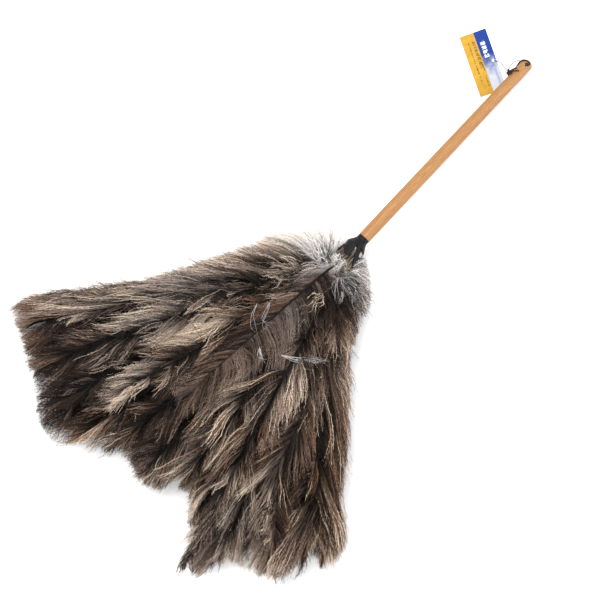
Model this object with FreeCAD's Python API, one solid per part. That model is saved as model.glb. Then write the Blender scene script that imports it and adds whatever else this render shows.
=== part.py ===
import FreeCAD, Part
import math
import os

from FreeCAD import Vector

# Feather duster lying on a level surface: +Z is up, +X runs towards the handle's free end and +Y
# is the side that the hang tag lies on. The origin is on the surface, below the middle of the
# duster's box. All sizes are in millimetres.

# Handle: a turned hardwood rod whose free end rests on its hanging lace.
HALF_SPAN = 322.0            # from the origin to the free end, and to the longest feather
TILT = math.radians(7.0)     # the rod climbs from its free end towards the feathers
FREE_END_RADIUS = 6.3
GRIP_RADIUS = 7.0
GRIP_LENGTH = 105.0          # the parallel stretch next to the cuff, up to its top edge
SEAT_RADIUS = 6.45           # under the cuff, so that the leather beds in
SEAT_START = 0.3             # before the cuff's top edge
SHOWN_LENGTH = 262.0         # from the free end to the cuff's top edge
HOLE_RADIUS = 2.3            # cross hole for the lace, at the centre of the round end
SPIGOT_RADIUS = 3.6          # the turned-down end that the feathers are wired to
SPIGOT_SHOULDER = (5.0, 9.0)
SPIGOT_END = 31.0
SPIGOT_CHAMFER = 0.6

# Feathers: three rows of quills round the spigot, each row held by its own winding of wire.
GAP = 0.05
QUILL_RADIUS = 0.95
WIRE_RADIUS = 0.3
WIRE_TURNS = 7
WIRE_PITCH = 0.65
MOUTH = 32.0                 # from the cuff's top edge to where the quills start to spread
ROW_NAMES = ("inner", "middle", "outer")
ROW_COUNTS = (10, 14, 18)
ROW_QUILL_START = (11.0, 11.0, 13.5)
ROW_WIRE_START = (24.0, 19.0, 15.0)
ROW_TURN = (0.5, 0.0, 0.5)   # where a row's first quill sits, as a share of its pitch
ROW_SHORTER_ON_TOP = (6.0, 34.0, 72.0)
UNEVEN_REACH = (0.0, -9.0, 6.0, -12.0, 3.0, -5.0, 8.0)
LONGEST_FEATHER = ("outer", 13)
SIDES = 10                   # of a vane's outline, cut square to X

# The spread of the head, as a distance from the mouth, against the height of the lowest and
# highest rows' centre lines.
LOWEST = ((0.0, None), (30.0, 25.0), (70.0, 8.5), (110.0, 2.5), (400.0, 2.5))
HIGHEST = ((0.0, None), (30.0, 66.0), (80.0, 88.0), (150.0, 99.0), (230.0, 92.0), (400.0, 60.0))
# How far past the mouth the feathers' tips are, against their place across the bundle from -Y.
REACH = ((-1.0, 250.0), (-0.85, 268.0), (-0.65, 288.0), (-0.4, 318.0), (-0.25, 300.0), (-0.1, 270.0),
         (0.0, 296.0), (0.25, 304.0), (0.4, 324.0), (0.6, 306.0), (0.85, 276.0), (1.0, 250.0))
SPREAD = 0.83
SPREAD_START = 15.0
VANE_SHARE = 0.115           # half of a vane's width, as a share of the head's half width
VANE_THICKNESS = 2.4         # half of it
VANE_START = 26.0
VANE_FULL = 95.0
STATIONS = (0, 5, 11, 18, 26, 40, 60, 95, 130, 170, 210, 250, 290, 320)
TIP_STEPS = ((16.0, 0.82), (6.0, 0.5), (0.0, 0.1))

# Cuff: black leather wrapped round the windings, its lower edge cut into petals.
LEATHER = 1.1
CUFF_PROFILE = ((0.0, 6.5), (4.5, 6.5), (13.0, 11.6), (33.0, 11.9))
CUFF_BAND = 8.5
PETAL_BASE = 7.0
# azimuth of the middle in degrees from +Y, half width, tip's distance, tip's sideways shift
PETALS = (
    (22.0, 7.0, 25.5, 1.5),
    (52.0, 6.0, 28.3, -1.0),
    (78.0, 5.2, 27.0, 1.0),
    (127.0, 5.0, 31.5, 2.5),
    (168.0, 4.6, 14.0, 0.0),
    (205.0, 6.4, 27.0, 1.0),
    (249.0, 6.8, 29.5, -1.0),
    (292.0, 6.6, 26.5, 1.5),
    (334.0, 6.8, 28.5, 0.0),
)

# Hanging lace: a thin brown leather thong through the hole and round the end of the handle.
LACE_RADIUS = 0.9
# The strand under the handle, and the one that comes back over its edge: each corner's turn from the
# top over +Y in degrees, its distance along from the hole, and its lift off the wood.
LACE_UNDER = ((62.0, -19.8, 1.2), (98.0, -20.6, 0.2), (136.0, -18.0, 0.0), (163.0, -12.6, 0.0),
              (176.0, -6.4, 0.0))
LACE_OVER = ((2.3, -2.3), (4.1, 0.2), (3.5, 3.6))   # along and to +Y, on top of the round end
LACE_BACK = ((72.0, 1.2, 0.0), (103.0, -2.2, 0.0), (126.0, -7.0, 0.0), (120.0, -12.2, 0.0),
             (92.0, -15.8, 0.2), (62.0, -17.0, 1.2))
KNOT_TURN = 60.0             # of the knot from the top of the handle, over +Y
KNOT_ALONG = -18.4           # from the hole
KNOT_CORE = 2.6
KNOT_LOOP = (2.5, 0.95)      # radius of the knot's outer turn, and of its strand
KNOT_LOOP_AXIS = Vector(0.9, 0.35, 0.3)
TAIL_ENDS = ((8.8, 43.0), (7.6, 14.0))   # each tail's reach, and its turn from the top over +Y

# Tag: a card on a thin thread that is looped to the lace and held in the knot.
THREAD_RADIUS = 0.4
TAG_SIZE = (68.0, 29.5, 0.5)
TAG_LIFT = 0.05
TAG_HOLE_RADIUS = 1.5
TAG_HOLE_INSET = 3.4         # from the long edge nearest to the handle
TAG_HOLE_ALONG = 35.0        # from the end of the card that points away from the feathers
TAG_HOLE_PLACE = (-18.8, 29.6)   # from the handle's cross hole
TAG_TURN = math.radians(62.7)    # of the card's long side from +X

LACE_DIAMETER = 2 * LACE_RADIUS
HOLE_X = HALF_SPAN - FREE_END_RADIUS
HOLE_Z = FREE_END_RADIUS + GAP + LACE_DIAMETER + 0.1
CUFF_TOP = SHOWN_LENGTH - FREE_END_RADIUS   # from the cross hole, along the axis

AXIS = Vector(math.cos(TILT), 0, -math.sin(TILT))    # towards the free end
SIDE = Vector(0, 1, 0)
RISE = Vector(math.sin(TILT), 0, math.cos(TILT))
HOLE = Vector(HOLE_X, 0, HOLE_Z)
HANDLE_PLACE = FreeCAD.Placement(HOLE, FreeCAD.Rotation(SIDE, math.degrees(TILT)))

parts = {}


def on_handle(along, side, rise):
    """A point by its distances from the cross hole: along the axis towards the free end, to +Y, and up."""
    return HOLE + AXIS * along + SIDE * side + RISE * rise


def below_cuff(distance, side=0.0, rise=0.0):
    """A point by its distance past the cuff's top edge, away from the free end."""
    return on_handle(-CUFF_TOP - distance, side, rise)


def revolved(outline):
    """The solid of a closed outline of (along, radius) points, turned round the handle's axis."""
    wire = Part.makePolygon([Vector(a, 0, r) for a, r in outline] + [Vector(outline[0][0], 0, outline[0][1])])
    solid = Part.Face(wire).revolve(Vector(), Vector(1, 0, 0), 360)
    solid.Placement = HANDLE_PLACE
    return solid


def interpolated(table, at):
    """The value at a distance, on straight lines between the table's (distance, value) pairs."""
    for (d0, v0), (d1, v1) in zip(table, table[1:]):
        if at <= d1:
            share = (at - d0) / (d1 - d0)
            return v0 + (v1 - v0) * share
    return table[-1][1]


def rounded_path(points):
    """A wire of straight runs joined by tangent arcs, each as large as its two runs allow, and the radii."""
    edges = []
    radii = []
    start = points[0]
    for before, corner, after in zip(points, points[1:], points[2:]):
        back = before - corner
        ahead = after - corner
        turn = math.pi - back.getAngle(ahead)
        trim = 0.45 * min(back.Length, ahead.Length)
        radius = trim / math.tan(turn / 2)
        back.normalize()
        ahead.normalize()
        into = corner + back * trim
        out = corner + ahead * trim
        inward = (back + ahead).normalize()
        middle = corner + inward * (radius / math.cos(turn / 2) - radius)
        edges.append(Part.LineSegment(start, into).toShape())
        edges.append(Part.Arc(into, middle, out).toShape())
        radii.append(radius)
        start = out
    edges.append(Part.LineSegment(start, points[-1]).toShape())
    return Part.Wire(edges), radii


def tube(points, radius, name):
    """A round cord along the rounded path through these points."""
    path, radii = rounded_path(points)
    ring = Part.Wire(Part.Circle(points[0], points[1] - points[0], radius).toShape())
    solid = path.makePipeShell([ring], True, True)
    expected = math.pi * radius ** 2 * path.Length
    print(name, "length", round(path.Length, 2), "volume over expected", round(solid.Volume / expected, 4),
          "radii", [round(r, 1) for r in radii])
    return solid


def make_handle():
    """The rod: a round free end, a slight taper, a parallel grip, and the spigot that the feathers sit on."""
    shoulder, neck = (-CUFF_TOP - d for d in SPIGOT_SHOULDER)
    end = -CUFF_TOP - SPIGOT_END
    taper_end = -CUFF_TOP + GRIP_LENGTH
    corners = [
        Vector(0, 0, FREE_END_RADIUS),
        Vector(taper_end, 0, GRIP_RADIUS),
        Vector(SEAT_START - CUFF_TOP, 0, GRIP_RADIUS),
        Vector(SEAT_START - CUFF_TOP, 0, SEAT_RADIUS),
        Vector(shoulder, 0, SEAT_RADIUS),
        Vector(neck, 0, SPIGOT_RADIUS),
        Vector(end + SPIGOT_CHAMFER, 0, SPIGOT_RADIUS),
        Vector(end, 0, SPIGOT_RADIUS - SPIGOT_CHAMFER),
        Vector(end, 0, 0),
        Vector(FREE_END_RADIUS, 0, 0),
    ]
    edges = [Part.LineSegment(a, b).toShape() for a, b in zip(corners, corners[1:])]
    middle = FREE_END_RADIUS * math.sqrt(0.5)
    edges.append(Part.Arc(corners[-1], Vector(middle, 0, middle), corners[0]).toShape())
    rod = Part.Face(Part.Wire(edges)).revolve(Vector(), Vector(1, 0, 0), 360)
    drill = Part.makeCylinder(HOLE_RADIUS, 3 * FREE_END_RADIUS, Vector(0, 0, -1.5 * FREE_END_RADIUS))
    rod = rod.cut(drill)
    rod.Placement = HANDLE_PLACE
    return rod


def row_radii():
    """The radius of each row of quills and of the winding over it, worked out from the spigot outwards."""
    quills = []
    wires = []
    surface = SPIGOT_RADIUS
    for _ in ROW_NAMES:
        quills.append(surface + GAP + QUILL_RADIUS)
        wires.append(quills[-1] + QUILL_RADIUS + GAP + WIRE_RADIUS)
        surface = wires[-1] + WIRE_RADIUS
    return quills, wires


def make_winding(radius, start):
    """The turns of binding wire over one row, each a closed ring beside the next."""
    rings = []
    for turn in range(WIRE_TURNS):
        centre = below_cuff(start + turn * WIRE_PITCH)
        rings.append(Part.makeTorus(radius, WIRE_RADIUS, centre, AXIS))
    return Part.makeCompound(rings)


def head_section(distance):
    """The head's half width, and its lowest, middle and highest centre lines, at a distance past the mouth."""
    axis_height = below_cuff(MOUTH).z
    edge = row_radii()[0][-1]
    low = interpolated(((0.0, axis_height - edge),) + LOWEST[1:], distance)
    high = interpolated(((0.0, axis_height + edge),) + HIGHEST[1:], distance)
    width = edge + SPREAD * distance ** 2 / (distance + SPREAD_START)
    middle = low + (high - low) * 0.5
    return width, low, middle, high


def feather_section(share_side, share_rise, distance, scale):
    """One closed outline of a feather, cut square to X. The shares are its place in the bundle of quills."""
    width, low, middle, high = head_section(distance)
    half = high - middle if share_rise > 0 else middle - low
    y = share_side * width
    z = middle + share_rise * half
    x = below_cuff(MOUTH).x - distance
    grown = min(1.0, max(0.0, (distance - VANE_START) / (VANE_FULL - VANE_START)))
    half_width = QUILL_RADIUS + grown * (VANE_SHARE * width * scale - QUILL_RADIUS)
    half_thick = QUILL_RADIUS + grown * (VANE_THICKNESS * scale - QUILL_RADIUS)
    return outline(Vector(x, y, z), half_width, half_thick)


def outline(centre, half_width, half_thick):
    """A many-sided oval, square to X."""
    points = []
    for corner in range(SIDES):
        turn = 2 * math.pi * corner / SIDES
        points.append(centre + Vector(0, half_width * math.cos(turn), half_thick * math.sin(turn)))
    return Part.makePolygon(points + points[:1])


def make_feather(radius, azimuth, start, reach):
    """A quill along the spigot and a plain closed vane, which stands for the feather's barbs."""
    edge = row_radii()[0][-1]
    share_side = radius / edge * math.cos(azimuth)
    share_rise = radius / edge * math.sin(azimuth)
    side = radius * math.cos(azimuth)
    rise = radius * math.sin(azimuth)
    foot = below_cuff(start, side, rise)
    sections = [outline(foot, QUILL_RADIUS, QUILL_RADIUS)]
    last = reach - TIP_STEPS[0][0] - 8.0
    for distance in STATIONS:
        if distance < last:
            sections.append(feather_section(share_side, share_rise, distance, 1.0))
    for back, scale in TIP_STEPS:
        sections.append(feather_section(share_side, share_rise, reach - back, scale))
    return Part.makeLoft(sections, True, True)


def feather_reach(row, number, azimuth, radius):
    """How far past the mouth a feather's tip is: shorter towards the sides and on top, and uneven."""
    if (ROW_NAMES[row], number) == LONGEST_FEATHER:
        return below_cuff(MOUTH).x + HALF_SPAN
    edge = row_radii()[0][-1]
    share = radius / edge * math.cos(azimuth)
    uneven = UNEVEN_REACH[(3 * number + row) % len(UNEVEN_REACH)]
    shorter = ROW_SHORTER_ON_TOP[row] * max(0.0, math.sin(azimuth)) * (1 - share ** 2)
    return interpolated(REACH, share) - shorter + uneven * (1 - share ** 4)


def make_cuff():
    """A leather shell over the windings: a whole band at the top, and petals below it."""
    inner = [(-CUFF_TOP - d, r) for d, r in CUFF_PROFILE]
    outer = [(a, r + LEATHER) for a, r in reversed(inner)]
    shell = revolved(inner + outer)
    far = 3 * GRIP_RADIUS
    band = Part.makeCylinder(far, CUFF_BAND + 1, below_cuff(-1), AXIS * -1)
    pieces = [shell.common(band)]
    for azimuth, half, tip, shift in PETALS:
        flap = petal_prism(azimuth, half, tip, shift, far)
        pieces.append(shell.common(flap))
    cuff = pieces[0].multiFuse(pieces[1:]).removeSplitter()
    return cuff.Solids[0] if len(cuff.Solids) == 1 else cuff


def petal_prism(azimuth, half, tip, shift, far):
    """A petal's outline, drawn on a plane through the axis and pushed outwards through the leather."""
    turn = math.radians(azimuth)
    out = SIDE * math.cos(turn) + RISE * math.sin(turn)
    across = RISE * math.cos(turn) - SIDE * math.sin(turn)
    waist = PETAL_BASE + 0.55 * (tip - PETAL_BASE)
    corners = ((-half, PETAL_BASE), (half, PETAL_BASE), (0.8 * half, waist), (shift, tip), (-0.8 * half, waist))
    points = [below_cuff(d) + across * t for t, d in corners]
    face = Part.Face(Part.makePolygon(points + points[:1]))
    return face.extrude(out * far)


def wrap_point(turn, along, lift=0.0):
    """A corner of a strand's path round the handle. The turn is in degrees from the top, over +Y."""
    clear = FREE_END_RADIUS + LACE_RADIUS + 0.12 + lift
    corner = clear / math.cos(math.radians(15))
    angle = math.radians(turn)
    return on_handle(along, corner * math.sin(angle), corner * math.cos(angle))


def over_end(along, side):
    """A corner of the strand's path on top of the handle's round end."""
    clear = FREE_END_RADIUS + LACE_RADIUS + 0.35
    return on_handle(along, side, math.sqrt(clear ** 2 - along ** 2 - side ** 2))


def lace_points():
    """From the knot, round under the handle, up through the hole, and over the end back to the knot."""
    reach = FREE_END_RADIUS + LACE_RADIUS + 0.15
    under = [wrap_point(turn, along, lift) for turn, along, lift in LACE_UNDER]
    through = [on_handle(0, 0, -reach), on_handle(0, 0, reach)]
    over = [over_end(along, side) for along, side in LACE_OVER]
    back = [wrap_point(turn, along, lift) for turn, along, lift in LACE_BACK]
    return under + through + over + back


def make_lace():
    return tube(lace_points(), LACE_RADIUS, "lace")


def knot_centre():
    turn = math.radians(KNOT_TURN)
    reach = FREE_END_RADIUS + KNOT_CORE + 0.9
    return on_handle(KNOT_ALONG, reach * math.sin(turn), reach * math.cos(turn))


def make_knot():
    """The lace's knot: a round core with one turn of the lace over it, and two short tails."""
    centre = knot_centre()
    loop, strand = KNOT_LOOP
    pieces = [Part.makeSphere(KNOT_CORE, centre), Part.makeTorus(loop, strand, centre, KNOT_LOOP_AXIS)]
    clear = FREE_END_RADIUS + LACE_RADIUS + 0.5
    for reach, azimuth in TAIL_ENDS:
        turn = math.radians(azimuth)
        tip = on_handle(KNOT_ALONG + reach, clear * math.sin(turn), clear * math.cos(turn))
        run = tip - centre
        pieces.append(Part.makeCylinder(LACE_RADIUS, run.Length, centre, run))
    return pieces[0].multiFuse(pieces[1:])


def tag_hole():
    x, y = TAG_HOLE_PLACE
    return Vector(HOLE_X + x, y, 0)


def thread_points():
    """From the lace at the handle's edge, in an arc to the knot, and down to the hole in the tag."""
    knot = knot_centre()
    hole = tag_hole()
    top = TAG_LIFT + TAG_SIZE[2]
    return [
        on_handle(0.0, 6.4, 3.3),
        on_handle(-1.2, 9.4, 2.0),
        on_handle(-5.2, 12.2, 0.9),
        on_handle(-10.4, 12.6, 1.8),
        on_handle(-15.2, 11.0, 3.6),
        knot + Vector(-1.2, 2.4, 0.4),
        Vector(hole.x + 1.6, hole.y - 15.0, 9.4),
        Vector(hole.x + 3.1, hole.y - 9.4, 5.4),
        Vector(hole.x + 2.4, hole.y - 4.4, 3.2),
        Vector(hole.x, hole.y, top - 0.05),
    ]


def make_tag():
    """A card with a punched hole, flat on the surface."""
    length, width, thick = TAG_SIZE
    card = Part.makeBox(length, width, thick, Vector(TAG_HOLE_ALONG - length, -TAG_HOLE_INSET, 0))
    punched = card.cut(Part.makeCylinder(TAG_HOLE_RADIUS, 3 * thick, Vector(0, 0, -thick)))
    place = tag_hole() + Vector(0, 0, TAG_LIFT)
    punched.Placement = FreeCAD.Placement(place, FreeCAD.Rotation(Vector(0, 0, 1), math.degrees(TAG_TURN)))
    return punched


def main():
    parts["handle"] = make_handle()
    parts["cuff"] = make_cuff()
    quills, wires = row_radii()
    for row, name in enumerate(ROW_NAMES):
        parts["winding_" + name] = make_winding(wires[row], ROW_WIRE_START[row])
        for number in range(1, ROW_COUNTS[row] + 1):
            azimuth = 2 * math.pi * (number - 1 + ROW_TURN[row]) / ROW_COUNTS[row]
            reach = feather_reach(row, number, azimuth, quills[row])
            label = f"{name}_feather_{number:02d}"
            parts[label] = make_feather(quills[row], azimuth, ROW_QUILL_START[row], reach)
    parts["lace"] = make_lace()
    parts["lace_knot"] = make_knot()
    parts["tag_thread"] = tube(thread_points(), THREAD_RADIUS, "tag_thread")
    parts["tag"] = make_tag()

    os.makedirs("parts", exist_ok=True)
    box = FreeCAD.BoundBox()
    for name, shape in parts.items():
        box.add(shape.BoundBox)
        shape.exportStep("parts/" + name + ".step")
        if not shape.isValid() or len(shape.Solids) < 1:
            print("not a valid solid:", name)
    print("box", [round(v, 2) for v in (box.XMin, box.XMax, box.YMin, box.YMax, box.ZMin, box.ZMax)])
    print("nodes", len(parts))


main()
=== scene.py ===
import math

import bpy
import numpy as np
from mathutils import Euler, Matrix, Vector


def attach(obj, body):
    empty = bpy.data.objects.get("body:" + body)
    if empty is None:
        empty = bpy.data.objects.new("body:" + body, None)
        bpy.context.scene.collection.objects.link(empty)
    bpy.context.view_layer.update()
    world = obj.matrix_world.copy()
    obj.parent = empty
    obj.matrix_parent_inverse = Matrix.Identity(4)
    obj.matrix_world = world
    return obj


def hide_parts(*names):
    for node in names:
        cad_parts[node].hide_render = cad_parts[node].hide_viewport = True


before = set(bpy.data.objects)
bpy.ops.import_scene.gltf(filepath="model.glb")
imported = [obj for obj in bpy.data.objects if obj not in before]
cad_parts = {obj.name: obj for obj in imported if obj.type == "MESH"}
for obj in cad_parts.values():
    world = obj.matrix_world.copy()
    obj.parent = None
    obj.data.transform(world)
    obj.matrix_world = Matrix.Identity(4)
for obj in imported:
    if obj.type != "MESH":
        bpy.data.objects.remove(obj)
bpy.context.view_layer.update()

bl_info = {
    "name": "Feather duster",
    "version": (1, 0, 0),
    "blender": (4, 5, 0),
    "location": "View3D > Sidebar > Duster",
    "description": "Dresses the packed duster in wood, leather, feathers, thread and card",
    "category": "Add Mesh",
}

MM = 0.001
FEATHER_ROWS = {"inner": 10, "middle": 14, "outer": 18}
BODY = "duster"
TAG_BODY = "tag_card"

# The handle's own directions. The cross hole is where they meet.
TILT = math.radians(7.0)
HOLE = Vector((315.7, 0.0, 8.25)) * MM
AXIS = Vector((math.cos(TILT), 0.0, -math.sin(TILT)))
SIDE = Vector((0.0, 1.0, 0.0))
RISE = Vector((math.sin(TILT), 0.0, math.cos(TILT)))
CUFF_TOP = 255.7
MOUTH_X = 0.0301
FREE_END_RADIUS = 6.3
KNOT_ALONG = -18.4
KNOT_OUT = FREE_END_RADIUS + 3.5


def on_handle(along, side, rise):
    """A point by its distances from the cross hole, in millimetres: towards the free end, to +Y, and up."""
    return HOLE + (AXIS * along + SIDE * side + RISE * rise) * MM


# ---------------------------------------------------------------- node helpers


class Number:
    """A number's socket, so that shader and field maths reads as a plain expression."""

    def __init__(self, tree, socket):
        self.tree = tree
        self.socket = socket

    def _with(self, operation, *others, clamp=False):
        inputs = {0: self}
        inputs.update({index + 1: other for index, other in enumerate(others)})
        made = self.tree.node("ShaderNodeMath", {"operation": operation, "use_clamp": clamp}, inputs)
        return self.tree.number(made)

    def __rsub__(self, other):
        return (self * -1.0)._with("ADD", other)

    def sine(self):
        return self._with("SINE")

    def size(self):
        return self._with("ABSOLUTE")

    def at_least(self, other):
        return self._with("MAXIMUM", other)

    def part(self):
        """What is left after the whole number is taken away."""
        return self._with("FRACT")

    def clamped(self):
        return self._with("ADD", 0.0, clamp=True)

    def between(self, low, high):
        """0 below low, 1 above high, and smooth between them."""
        settings = {"interpolation_type": "SMOOTHSTEP"}
        inputs = {"Value": self, "From Min": low, "From Max": high}
        return self.tree.number(self.tree.node("ShaderNodeMapRange", settings, inputs))


def operator_method(operation):
    return lambda number, other: number._with(operation, other)


for method, operation in (("add", "ADD"), ("radd", "ADD"), ("mul", "MULTIPLY"), ("rmul", "MULTIPLY"),
                          ("sub", "SUBTRACT"), ("truediv", "DIVIDE")):
    setattr(Number, f"__{method}__", operator_method(operation))


class Tree:
    """A node tree under construction."""

    def __init__(self, node_tree):
        self.tree = node_tree

    def node(self, kind, settings=None, inputs=None):
        """A node with its settings made first, then its sockets set or linked by name or number."""
        made = self.tree.nodes.new(kind)
        for key, value in (settings or {}).items():
            if key == "stops":
                self._stops(made.color_ramp, value)
            else:
                setattr(made, key, value)
        for key, value in (inputs or {}).items():
            if isinstance(value, Number):
                value = value.socket
            if isinstance(value, bpy.types.NodeSocket):
                self.tree.links.new(value, made.inputs[key])
            else:
                made.inputs[key].default_value = value
        return made

    @staticmethod
    def _stops(ramp, stops):
        while len(ramp.elements) < len(stops):
            ramp.elements.new(1.0)
        for element, (position, colour) in zip(ramp.elements, stops):
            element.position = position
            element.color = (*colour, 1.0)

    def number(self, node, key=0):
        return Number(self, node.outputs[key])

    def vector(self, operation, *values, scale=None):
        inputs = dict(enumerate(values))
        if scale is not None:
            inputs["Scale"] = scale
        made = self.node("ShaderNodeVectorMath", {"operation": operation}, inputs)
        return made.outputs["Value" if operation in ("DOT_PRODUCT", "LENGTH") else "Vector"]

    def parts(self, vector):
        """The three numbers of a vector."""
        made = self.node("ShaderNodeSeparateXYZ", None, {0: vector})
        return [self.number(made, axis) for axis in "XYZ"]

    def joined(self, x, y, z):
        return self.node("ShaderNodeCombineXYZ", None, {"X": x, "Y": y, "Z": z}).outputs[0]


class Finish(Tree):
    """A material on one Principled shader, with the textures that most finishes here use."""

    def __init__(self, name, **constants):
        self.material = bpy.data.materials.new(name)
        self.material.use_nodes = True
        super().__init__(self.material.node_tree)
        self.shader = self.tree.nodes["Principled BSDF"]
        self.sockets = {socket.name.lower().replace(" ", "_"): socket for socket in self.shader.inputs}
        for key, value in constants.items():
            self.sockets[key].default_value = value

    def place(self, scale=(1, 1, 1), turn=(0, 0, 0), shift=(0, 0, 0)):
        """Object coordinates, moved, turned and stretched."""
        at = self.node("ShaderNodeTexCoord").outputs["Object"]
        moved = self.node("ShaderNodeMapping", None, {"Vector": at, "Location": shift, "Rotation": turn})
        return self.vector("MULTIPLY", moved.outputs[0], scale)

    def noise(self, vector, scale, detail=4.0, roughness=0.55, distortion=0.0):
        inputs = {"Vector": vector, "Scale": scale, "Detail": detail, "Roughness": roughness,
                  "Distortion": distortion}
        return self.number(self.node("ShaderNodeTexNoise", None, inputs))

    def cells(self, vector, scale, feature="F1", output="Distance", randomness=1.0):
        inputs = {"Vector": vector, "Scale": scale, "Randomness": randomness}
        return self.number(self.node("ShaderNodeTexVoronoi", {"feature": feature}, inputs), output)

    def attribute(self, name):
        return self.number(self.node("ShaderNodeAttribute", {"attribute_name": name}), "Fac")

    def ramp(self, fac, stops):
        return self.node("ShaderNodeValToRGB", {"stops": stops}, {"Fac": fac}).outputs["Color"]

    def mix(self, fac, first, second, blend="MIX"):
        """Two colours mixed. A colour is a socket or three numbers."""
        settings = {"data_type": "RGBA", "blend_type": blend}
        colours = [(*c, 1.0) if isinstance(c, tuple) else c for c in (first, second)]
        made = self.node("ShaderNodeMix", settings, {0: fac, 6: colours[0], 7: colours[1]})
        return made.outputs[2]

    def set(self, **links):
        for key, value in links.items():
            socket = value.socket if isinstance(value, Number) else value
            self.tree.links.new(socket, self.sockets[key])

    def bump(self, height, distance, strength=1.0):
        inputs = {"Height": height, "Distance": distance, "Strength": strength}
        self.set(normal=self.node("ShaderNodeBump", None, inputs).outputs[0])


def linear(red, green, blue):
    """A colour given as it looks on a screen, 0 to 255, in the scene's linear numbers."""
    parts = (red, green, blue)
    return tuple((c / 255.0 / 12.92) if c <= 10 else ((c / 255.0 + 0.055) / 1.055) ** 2.4 for c in parts)


# ---------------------------------------------------------------- mesh helpers


def new_piece(name, mesh, material):
    """An object at the origin with one material and smooth faces."""
    piece = bpy.data.objects.new(name, mesh)
    bpy.context.scene.collection.objects.link(piece)
    mesh.materials.clear()
    mesh.materials.append(material)
    mesh.shade_smooth()
    return piece


def finish_node(node, material):
    """Gives a CAD node's own mesh its material."""
    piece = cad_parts[node]
    for index in range(len(piece.data.materials)):
        piece.data.materials[index] = material


def frames_along(points):
    """Tangents and two steady cross directions along a line of points."""
    tangents = np.gradient(points, axis=0)
    tangents /= np.linalg.norm(tangents, axis=1)[:, None]
    across = np.empty_like(points)
    start = np.cross(tangents[0], (0.0, 0.0, 1.0))
    if np.linalg.norm(start) < 0.1:
        start = np.cross(tangents[0], (0.0, 1.0, 0.0))
    for index, tangent in enumerate(tangents):
        start = start - tangent * np.dot(start, tangent)
        start = start / np.linalg.norm(start)
        across[index] = start
    return tangents, across, np.cross(tangents, across)


def tube(points, radii, sides):
    """Vertices and faces of a closed tube along points, with a pole at each end."""
    points = np.asarray(points, float)
    _, across, up = frames_along(points)
    turns = np.linspace(0, 2 * math.pi, sides, endpoint=False)
    rings = points[:, None] + np.asarray(radii)[:, None, None] * (
        np.cos(turns)[None, :, None] * across[:, None] + np.sin(turns)[None, :, None] * up[:, None])
    vertices = np.vstack([rings.reshape(-1, 3), points[:1], points[-1:]])
    faces = []
    first, last = len(vertices) - 2, len(vertices) - 1
    end = (len(points) - 1) * sides
    for index in range(sides):
        after = (index + 1) % sides
        for ring in range(0, end, sides):
            faces.append((ring + index, ring + sides + index, ring + sides + after, ring + after))
        faces.append((first, index, after))
        faces.append((last, end + after, end + index))
    return vertices, faces


def joined_mesh(name, shells):
    """One mesh from several (vertices, faces) shells."""
    vertices, faces = [], []
    for shell_vertices, shell_faces in shells:
        start = len(vertices)
        vertices.extend(map(tuple, shell_vertices))
        faces.extend(tuple(start + corner for corner in face) for face in shell_faces)
    mesh = bpy.data.meshes.new(name)
    mesh.from_pydata(vertices, [], faces)
    mesh.update()
    return mesh


def smooth_line(points, count):
    """Evenly spaced points on a smooth curve through a few points."""
    points = np.asarray(points, float)
    padded = np.vstack([2 * points[0] - points[1], points, 2 * points[-1] - points[-2]])
    steps = np.linspace(0, 1, 12, endpoint=False)[:, None]
    spans = []
    for a, b, c, d in zip(padded, padded[1:], padded[2:], padded[3:]):
        spans.append(0.5 * ((2 * b) + (c - a) * steps + (2 * a - 5 * b + 4 * c - d) * steps ** 2
                            + (3 * b - a - 3 * c + d) * steps ** 3))
    dense = np.vstack(spans + [points[-1:]])
    lengths = np.concatenate([[0.0], np.cumsum(np.linalg.norm(np.diff(dense, axis=0), axis=1))])
    wanted = np.linspace(0, lengths[-1], count)
    return np.stack([np.interp(wanted, lengths, dense[:, axis]) for axis in range(3)], axis=1), wanted


# ---------------------------------------------------------------- finishes


def wood_finish(colour):
    """Oiled straight-grained hardwood, with short dark flecks along the rod."""
    m = Finish("turned_wood", coat_weight=0.04, coat_roughness=0.35, specular_ior_level=0.3)
    turn = (0.0, -TILT, 0.0)
    fibres = m.noise(m.place((26.0, 420.0, 420.0), turn), 4.0, 6.0, 0.62, 0.1)
    bands = m.noise(m.place((5.0, 90.0, 90.0), turn), 2.2, 3.0, 0.5, 0.3)
    pores = m.noise(m.place((120.0, 1300.0, 1300.0), turn), 2.0, 3.0, 0.6)
    flecks = m.cells(m.place((230.0, 1500.0, 1500.0), turn), 1.0)
    fleck = (1.0 - flecks.between(0.16, 0.36)) * bands.between(0.40, 0.58)
    light, mid, dark = colour
    tone = (fibres * 0.7 + bands * 0.3).between(0.34, 0.68)
    grain = m.ramp(tone, ((0.0, dark), (0.5, mid), (1.0, light)))
    fine = m.mix(pores.between(0.5, 0.72) * 0.30, grain, linear(150, 92, 52))
    m.set(base_color=m.mix(fleck * 0.5, fine, linear(120, 70, 40)))
    m.set(roughness=0.52 - tone * 0.12 + fleck * 0.2)
    m.bump(fibres * 0.5 + pores * 0.4 - fleck * 0.7, 0.00010, 0.6)
    return m.material


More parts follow.
